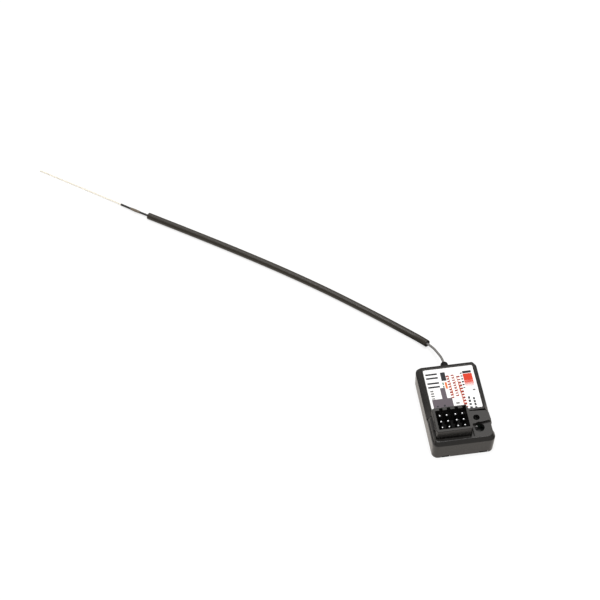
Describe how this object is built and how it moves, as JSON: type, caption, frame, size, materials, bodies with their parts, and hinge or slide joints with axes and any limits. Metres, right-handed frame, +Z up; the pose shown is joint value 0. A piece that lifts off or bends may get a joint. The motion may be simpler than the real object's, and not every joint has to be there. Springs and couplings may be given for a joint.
{
  "type": "rc receiver",
  "caption": "Small radio-control receiver: black case with a plug well of bare header pins, recessed setup key, lamp opening, label field and a trailing wire antenna in a sleeve.",
  "frame": {"origin": "middle of the case's underside, on the surface it lies on", "axes": "+Z up, +Y towards the end where the antenna leaves, +X across the width towards the key's side"},
  "size_m": [0.1589, 0.1636, 0.013],
  "materials": {
    "case_plastic": "black moulded plastic, satin, with a fine spark-eroded grain",
    "cover_plastic": "black moulded plastic, satin",
    "label_film": null,
    "board_laminate": "green solder mask over glass-fibre laminate",
    "header_plastic": "black moulded header insulator",
    "pin_metal": "thin pale gold plating over brass, bright",
    "solder": "solder, bright",
    "switch_plastic": "black moulded plastic",
    "switch_metal": "tin-plated sheet steel",
    "plunger_plastic": "dark moulded plastic",
    "dome_steel": "sprung stainless steel sheet",
    "lead_metal": "tinned leads, bright",
    "led_ceramic": "white lamp carrier",
    "led_resin": "clear red resin",
    "chip_resin": "black moulding compound",
    "crystal_can": "seam-welded metal can",
    "capacitor_body": "ochre moulded capacitor case",
    "chip_ceramic": "fired ceramic",
    "resistor_body": "black glazed resistor body",
    "grommet_rubber": "black soft rubber",
    "coax_jacket": "grey extruded jacket",
    "sleeve_plastic": "black-brown extruded tube, satin",
    "collar_plastic": "brown ring of heat-shrunk film",
    "element_insulation": "pale cream wire insulation"
  },
  "bodies": {
    "receiver": {"upper_case": "case_plastic", "bottom_cover": "cover_plastic", "label": "label_film", "circuit_board": "board_laminate", "header_base_left": "header_plastic", "header_base_right": "header_plastic", "pin_solder": "solder", "key_switch_body": "switch_plastic", "key_switch_frame": "switch_metal", "key_dome": "dome_steel", "key_leads": "lead_metal", "led_base": "led_ceramic", "led_lens": "led_resin", "microcontroller": "chip_resin", "microcontroller_leads": "lead_metal", "rf_chip": "chip_resin", "crystal": "crystal_can", "voltage_regulator": "chip_resin", "regulator_leads": "lead_metal", "filter_capacitor": "capacitor_body", "chip_capacitors": "chip_ceramic", "chip_resistors": "resistor_body", "coax_solder": "solder", "antenna_grommet": "grommet_rubber", "antenna_coax": "coax_jacket", "antenna_sleeve": "sleeve_plastic", "antenna_collar": "collar_plastic", "antenna_element": "element_insulation", "header_pin_01": "pin_metal", "header_pin_02": "pin_metal", "header_pin_03": "pin_metal", "header_pin_04": "pin_metal", "header_pin_05": "pin_metal", "header_pin_06": "pin_metal", "header_pin_07": "pin_metal", "header_pin_08": "pin_metal", "header_pin_09": "pin_metal", "header_pin_10": "pin_metal", "header_pin_11": "pin_metal", "header_pin_12": "pin_metal"},
    "key": {"key_plunger": "plunger_plastic"}
  },
  "joints": [
    {"name": "key_press", "type": "slide", "parent": "receiver", "child": "key", "axis": [0, 0, -1], "range_m": [0, 0.00025], "stiffness_N_per_m": 1000, "deforming": ["key_dome"]}
  ]
}
